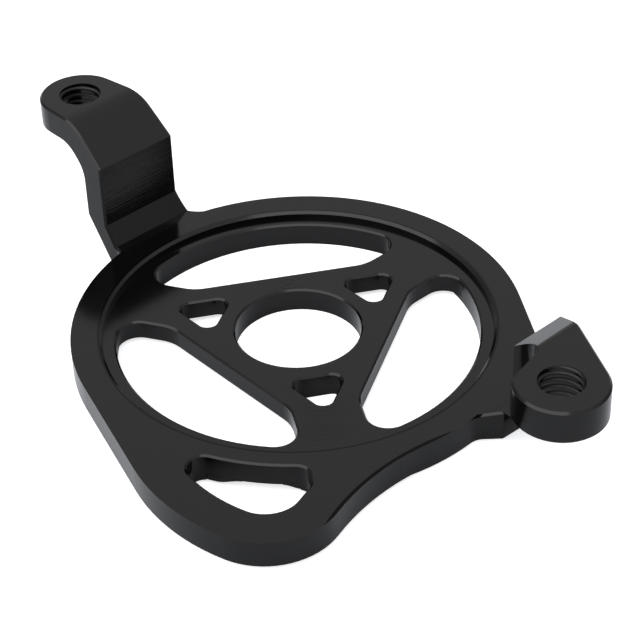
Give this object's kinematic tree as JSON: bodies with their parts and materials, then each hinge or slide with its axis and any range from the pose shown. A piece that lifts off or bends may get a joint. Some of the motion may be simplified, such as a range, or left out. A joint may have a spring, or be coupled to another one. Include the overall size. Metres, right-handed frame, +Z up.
{
  "type": "engine case cover",
  "caption": "Skeleton engine case cover milled from aluminium: round rim with windows and a centre bore, an offset slotted lobe, and two stepped straps ending in tapped eyes.",
  "frame": {"origin": "on the axis of the centre bore, in the plane of the machined seat under the plate", "axes": "+Z up along the bore axis out of the recessed face; the lobe points towards -Y, the arm towards -X +Y and the lug towards +X -Y"},
  "size_m": [0.0899, 0.0994, 0.0269],
  "materials": {
    "black_anodised_aluminium": "smooth milled surface, black anodised, semi-gloss"
  },
  "bodies": {
    "root": {"case_cover": "black_anodised_aluminium"}
  },
  "joints": []
}
